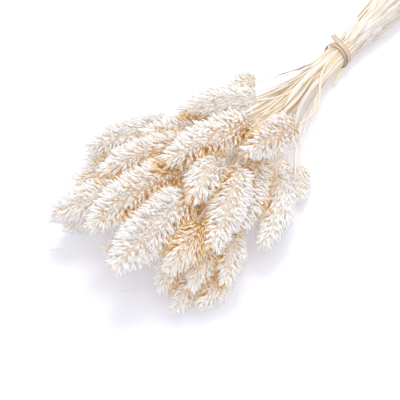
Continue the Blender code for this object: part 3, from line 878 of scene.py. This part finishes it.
def make_sheaths(stalks, material):
    """Crumpled sheaths, loose round the bunch behind the strip."""
    rng = np.random.default_rng(SHEATH_SEED)
    pile = Pile()
    _, strip_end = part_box("tie_strip")
    middle = np.mean([stalk.stem[TIE_RING] for stalk in stalks], axis=0)
    for k in range(SHEATHS):
        grow_sheath(pile, k, float(strip_end[0]), middle, rng)
    obj = pile.to_object("loose_sheaths", [material])
    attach(obj, "root")


def make_leaf(name, material):
    """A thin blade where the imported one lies."""
    rng = np.random.default_rng(SEED + int(name[-1]) * LEAF_SEED_STEP)
    rings = rings_of(name)
    widths, flats = [], []
    for ring in rings:
        _, size, axes = np.linalg.svd(ring - ring.mean(axis=0))
        widths.append(size[0])
        flats.append(axes[0] if axes[0][1] > 0 else -axes[0])
    flats = np.array(flats)
    line, s, reach = even_line(centres_of(rings), LEAF_POINTS)
    share = s / reach[-1]
    taper = widen(1 - share, *LEAF_END) * widen(share, *LEAF_START)
    half = np.interp(s, reach, widths) * LEAF_SHARE * taper
    across = np.stack([np.interp(s, reach, flats[:, axis]) for axis in range(3)], axis=1)
    pile = Pile()
    grow_blade(pile, 0, line, across, half, LEAF_FOLD, LEAF_WAVE, rng)
    obj = pile.to_object(name.replace("leaf_blade", "dry_leaf"), [material])
    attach(obj, "root")
    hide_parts(name)


def strip_tail(start, out):
    """The tail's middle line: it runs straight on and rises a little."""
    u = np.linspace(0, 1, TAIL_POINTS + 1)[1:, None]
    ahead = np.array([0.0, out[2], -out[1]])
    tail = start + ahead * TAIL_REACH * u + out * TAIL_LIFT * u * u
    tail[:, 0] += TAIL_SHIFT * u[:, 0]
    return tail


def strip_line():
    """The wound strip's middle line, from its start to its tail's end, about its own centre."""
    turns = np.linspace(0, STRIP_TURNS, STRIP_POINTS)
    angle = math.pi / STRIP_FACETS - 2 * math.pi * turns
    whole, part = np.divmod(turns - 0.5 / STRIP_FACETS, 1.0)
    grown = whole + smooth((part - STEP_FROM) / (1 - STEP_FROM))
    out = np.stack([0 * angle, np.cos(angle), np.sin(angle)], axis=1)
    radius = (STRIP_CORE + STRIP_STEP * grown + STRIP_THICK / 2) * STRIP_FIT
    line = out * radius[:, None]
    line[:, 0] = STRIP_SHIFT * (grown - 1)
    return np.vstack([line, strip_tail(line[-1], out[-1])])


def make_strip(stalks, material):
    """The wound strip, finer: two turns side by side and a tail that stands out."""
    rng = np.random.default_rng(STRIP_SEED)
    strip_start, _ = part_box("tie_strip")
    ahead = float(strip_start[0]) + STRIP_SHIFT + STRIP_WIDTH / 2
    sideways = np.mean([at_tie(stalk.stem)[1] for stalk in stalks])
    height = (STRIP_CORE + STRIP_STEP + STRIP_THICK) * math.cos(math.pi / STRIP_FACETS)
    line = strip_line() + np.array([ahead, sideways, height])
    across = np.tile([1.0, 0.0, 0.0], (len(line), 1))
    wear = rng.normal(0, STRIP_WEAR, len(line) + WEAR_WINDOW - 1)
    worn = np.convolve(wear, np.ones(WEAR_WINDOW) / WEAR_WINDOW, "valid")
    half = STRIP_WIDTH / 2 * (1 + worn)
    pile = Pile()
    grow_blade(pile, 0, line, across, half, STRIP_FOLD, STRIP_WAVE, rng, STRIP_HALF_DEPTH)
    obj = pile.to_object("wound_strip", [material])
    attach(obj, "root")
    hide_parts("tie_strip")


def grow_bit(pile, kind, half, points, cloud, rng):
    """One thin scrap of leaf, or a short straw."""
    material = BIT_KINDS.index(kind)
    u = np.linspace(0, 1, BIT_POINTS)
    line, way = on_line(polynomial([0.0, 0.5, 1.0], np.array(points) * MM, 2), u)
    if kind == "straw":
        s = u * np.linalg.norm(way, axis=1).mean()
        knots = [BIT_KNOT * s[-1]]
        grow_tube(pile, material, line, s, np.full(BIT_POINTS, half), knots, rng.random(), cloud)
        return
    across = unit(np.cross(way, BIT_FACING))
    width = half * widen(u, *BIT_START) * sharpen(1 - u, *BIT_END)
    thick = min(BLADE_THICK, BIT_THICK * half)
    grow_blade(pile, material, line, across, width, BIT_FOLD, BIT_WAVE, rng, thick)


def make_bits(materials, cloud):
    """Small dry bits in and beside the bunch: thin leaves, green scraps, hairs and straws."""
    rng = np.random.default_rng(BIT_SEED)
    pile = Pile()
    for kind, half, *points in BITS:
        grow_bit(pile, kind, half * MM, points, cloud, rng)
    obj = pile.to_object("dry_bits", materials)
    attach(obj, "root")


# Materials


class Paint:
    """One material, and short names for the shader nodes that the materials use."""

    def __init__(self, name, roughness, specular=SPECULAR):
        self.material = bpy.data.materials.new(name)
        self.material.use_nodes = True
        self.tree = self.material.node_tree
        self.shader = self.tree.nodes["Principled BSDF"]
        self.shader.inputs["Roughness"].default_value = roughness
        self.shader.inputs["Specular IOR Level"].default_value = specular

    def link(self, source, target):
        self.tree.links.new(source, target)

    def feed(self, socket, value):
        """Sets a socket to a number or a colour, or links another node's output to it."""
        if isinstance(value, tuple):
            socket.default_value = (*value, 1.0)
        elif isinstance(value, (int, float)):
            socket.default_value = value
        else:
            self.link(value, socket)

    def value(self, name):
        node = self.tree.nodes.new("ShaderNodeAttribute")
        node.attribute_name = name
        return node.outputs["Fac"]

    def math(self, operation, *values):
        node = self.tree.nodes.new("ShaderNodeMath")
        node.operation = operation
        for socket, value in zip(node.inputs, values):
            self.feed(socket, value)
        return node.outputs[0]

    def clamp(self, value):
        return self.math("MAXIMUM", self.math("MINIMUM", value, 1.0), 0.0)

    def vector(self, values, steps):
        """The place at which a noise is read: each value times its own step."""
        node = self.tree.nodes.new("ShaderNodeCombineXYZ")
        for socket, value, step in zip(node.inputs, values, steps):
            self.link(self.math("MULTIPLY", value, step), socket)
        return node.outputs[0]

    def ramp(self, value, stops):
        node = self.tree.nodes.new("ShaderNodeValToRGB")
        elements = node.color_ramp.elements
        while len(elements) < len(stops):
            elements.new(0.5)
        for element, (place, colour) in zip(elements, stops):
            element.position = place
            element.color = (*colour, 1.0)
        self.link(value, node.inputs["Fac"])
        return node.outputs["Color"]

    def mix(self, share, a, b, kind="MIX"):
        node = self.tree.nodes.new("ShaderNodeMix")
        node.data_type = "RGBA"
        node.blend_type = kind
        self.feed(node.inputs[MIX_FACTOR], share)
        self.feed(node.inputs[MIX_A], a)
        self.feed(node.inputs[MIX_B], b)
        return node.outputs[MIX_RESULT]

    def tinted(self, colour, tint):
        return self.mix(1.0, colour, tint, "MULTIPLY")

    def noise(self, scale, detail, vector=None):
        node = self.tree.nodes.new("ShaderNodeTexNoise")
        node.inputs["Scale"].default_value = scale
        node.inputs["Detail"].default_value = detail
        node.inputs["Roughness"].default_value = NOISE_ROUGHNESS
        if vector is None:
            coords = self.tree.nodes.new("ShaderNodeTexCoord")
            vector = coords.outputs["Object"]
        self.link(vector, node.inputs["Vector"])
        return node.outputs["Fac"]

    def bump(self, height, distance, strength):
        node = self.tree.nodes.new("ShaderNodeBump")
        node.inputs["Strength"].default_value = strength
        node.inputs["Distance"].default_value = distance
        self.link(height, node.inputs["Height"])
        self.link(node.outputs["Normal"], self.shader.inputs["Normal"])

    def colour(self, value):
        self.link(value, self.shader.inputs["Base Color"])

    def glow(self, weight, scale):
        """Light passes a little way into the dry tissue."""
        self.shader.inputs["Subsurface Weight"].default_value = weight
        self.shader.inputs["Subsurface Radius"].default_value = TISSUE_RADIUS
        self.shader.inputs["Subsurface Scale"].default_value = scale


def head_material():
    """Glumes, pale, ochre or golden, each of these whiter towards the glume's tip. The darker glume
    bases and the golden colour are painted shade, and the ochre is partly painted shade.
    """
    paint = Paint("bleached_glumes", roughness=0.8)
    along, tone, warm = (paint.value(key) for key in ("along", "tone", "warm"))
    pale = paint.ramp(along, PALE_GLUME)
    ochre = paint.ramp(along, OCHRE_GLUME)
    gold_shade = paint.ramp(along, GOLD_SHADE_GLUME)
    mottle = paint.math("SUBTRACT", paint.noise(scale=420.0, detail=3.0), 0.5)
    # The warm value holds each head's ochre and the painted shade between crowded heads
    share = paint.math("ADD", warm, paint.math("MULTIPLY", mottle, MOTTLE))
    some = paint.clamp(share)
    much = paint.clamp(paint.math("SUBTRACT", share, 1.0))
    body = paint.mix(much, paint.mix(some, pale, ochre), gold_shade)
    paint.colour(paint.tinted(body, paint.ramp(tone, GLUME_TINTS)))
    paint.bump(paint.noise(scale=3800.0, detail=2.0), distance=0.12 * MM, strength=0.5)
    paint.glow(weight=0.2, scale=1.5 * MM)
    return paint.material


def stem_material(name, bleach):
    """Straw with streaks along it, ochre at its knots, and ochre painted shade where the bunch covers
    it. A share of near-white paint, a painted highlight, can be laid over it.
    """
    paint = Paint(name, roughness=0.62)
    along, turn, tone, knot = (paint.value(key) for key in ("along", "grain", "tone", "warm"))
    streak_at = paint.vector((turn, along, tone), STREAK_STEPS)
    streak = paint.noise(scale=2.2, detail=4.0, vector=streak_at)
    blotch_at = paint.vector((along, tone), BLOTCH_STEPS)
    blotch = paint.noise(scale=1.0, detail=3.0, vector=blotch_at)
    body = paint.tinted(paint.ramp(streak, STEM_STREAKS), paint.ramp(blotch, STEM_BLOTCHES))
    # The value named knot holds the knots' own ochre and the painted shade deep in the bunch
    body = paint.mix(paint.math("MULTIPLY", knot, KNOT_AND_SHADE_SHARE), body, STEM_KNOT_AND_SHADE)
    # bleach sets a share of near-white paint: a painted highlight
    paint.colour(paint.mix(bleach, body, STEM_PAINTED_HIGHLIGHT))
    paint.bump(streak, distance=0.3 * MM, strength=0.6)
    paint.glow(weight=0.12, scale=1.0 * MM)
    return paint.material


def leaf_material(name, tint):
    """Dry leaf with veins along it and a few straw-coloured stains."""
    paint = Paint(name, roughness=0.6)
    along, across, tone = (paint.value(key) for key in ("along", "grain", "tone"))
    vein_at = paint.vector((across, along, tone), VEIN_STEPS)
    vein = paint.noise(scale=2.4, detail=3.0, vector=vein_at)
    stain = paint.noise(scale=60.0, detail=3.0)
    body = paint.tinted(paint.ramp(vein, LEAF_VEINS), paint.ramp(stain, LEAF_STAINS))
    paint.colour(paint.tinted(body, tint))
    paint.bump(vein, distance=0.3 * MM, strength=0.7)
    paint.glow(weight=0.1, scale=1.0 * MM)
    return paint.material


def strip_material():
    """Tan fibres along the strip, browner at its edges."""
    paint = Paint("dry_strip", roughness=0.6)
    along, across = (paint.value(key) for key in ("along", "grain"))
    fibre_at = paint.vector((across, along), FIBRE_STEPS)
    fibre = paint.noise(scale=2.4, detail=4.0, vector=fibre_at)
    edge = paint.math("ABSOLUTE", across)
    paint.colour(paint.tinted(paint.ramp(fibre, STRIP_FIBRES), paint.ramp(edge, STRIP_EDGES)))
    paint.bump(fibre, distance=0.3 * MM, strength=0.6)
    return paint.material


# The stage


def make_floor():
    """A plain pale floor, a hair below the bunch."""
    low, high = -FLOOR_REACH, FLOOR_REACH
    corners = [(low, low), (high, low), (high, high), (low, high)]
    mesh = bpy.data.meshes.new("floor")
    mesh.from_pydata([(x, y, FLOOR_HEIGHT) for x, y in corners], [], [(0, 1, 2, 3)])
    floor = bpy.data.objects.new("floor", mesh)
    bpy.context.scene.collection.objects.link(floor)
    paint = Paint("floor", FLOOR_ROUGHNESS, specular=0.0)
    paint.shader.inputs["Base Color"].default_value = FLOOR_COLOUR
    mesh.materials.append(paint.material)


def make_light(name, place, width, power, colour, shadow):
    """A soft disc of light, aimed at the bunch."""
    data = bpy.data.lights.new(name, "AREA")
    data.shape = "DISK"
    data.size = width
    data.energy = power
    data.color = colour
    data.use_shadow = shadow
    light = bpy.data.objects.new(name, data)
    bpy.context.scene.collection.objects.link(light)
    away = Vector(place) - Vector(LIGHT_TARGET)
    light.location = place
    light.rotation_mode = "QUATERNION"
    light.rotation_quaternion = away.to_track_quat("Z", "Y")
    light.visible_camera = False


def make_world():
    """Even light from all round."""
    world = bpy.data.worlds.new("studio")
    world.use_nodes = True
    background = world.node_tree.nodes["Background"]
    background.inputs["Color"].default_value = (*WORLD_COLOUR, 1.0)
    background.inputs["Strength"].default_value = WORLD_STRENGTH
    bpy.context.scene.world = world


def make_camera():
    """The camera, and how the picture's tones are shown."""
    azimuth, elevation = math.radians(CAMERA_AZIMUTH), math.radians(CAMERA_ELEVATION)
    back = Vector((
        math.sin(azimuth) * math.cos(elevation),
        -math.cos(azimuth) * math.cos(elevation),
        math.sin(elevation),
    ))
    data = bpy.data.cameras.new("camera")
    data.lens = LENS
    data.sensor_width = SENSOR
    data.clip_start = CLIP_START
    camera = bpy.data.objects.new("camera", data)
    bpy.context.scene.collection.objects.link(camera)
    camera.location = CAMERA_PLACE
    camera.rotation_mode = "QUATERNION"
    camera.rotation_quaternion = (-back).to_track_quat("-Z", "Y")
    bpy.context.scene.camera = camera
    bpy.context.scene.view_settings.view_transform = "Standard"
    bpy.context.scene.view_settings.gamma = VIEW_GAMMA


def nodes_named(start):
    """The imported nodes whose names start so, in order."""
    return sorted(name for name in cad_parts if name.startswith(start))


def make_pieces():
    """Finer pieces in place of every packed one, and what only the looks have."""
    heads = head_material()
    stems = stem_material("straw_stem", 0.0)
    # The faint stems are painted near-white, a painted highlight
    faint = stem_material("stem_painted_white", 0.75)
    pale = leaf_material("bleached_leaf", PALE_TINT)
    green = leaf_material("green_scrap", GREEN_TINT)
    stalks = [Stalk(name) for name in nodes_named("stalk")]
    cloud = np.vstack([even_line(stalk.stem, CLOUD_POINTS)[0] for stalk in stalks])
    for stalk in stalks:
        others = [other for other in stalks if other is not stalk]
        stem = faint if stalk.name in FAINT_STEMS else stems
        make_stalk(stalk, others, [stem, heads], cloud)
    make_straws(stalks, stems, cloud)
    make_sheaths(stalks, pale)
    for name in nodes_named("leaf_blade"):
        make_leaf(name, pale)
    make_bits([pale, green, stems], cloud)
    make_strip(stalks, strip_material())


def make_stage():
    """A pale floor, soft light and the camera at the photograph's angle."""
    make_floor()
    make_world()
    for light in LIGHTS:
        make_light(*light)
    make_camera()


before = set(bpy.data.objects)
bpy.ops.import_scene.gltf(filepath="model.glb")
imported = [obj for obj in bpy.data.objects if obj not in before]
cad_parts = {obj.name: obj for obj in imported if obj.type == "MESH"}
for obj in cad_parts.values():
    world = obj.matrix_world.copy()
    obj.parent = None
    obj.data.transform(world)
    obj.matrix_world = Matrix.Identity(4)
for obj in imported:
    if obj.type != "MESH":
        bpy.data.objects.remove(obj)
cad_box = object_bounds()
make_pieces()
make_stage()
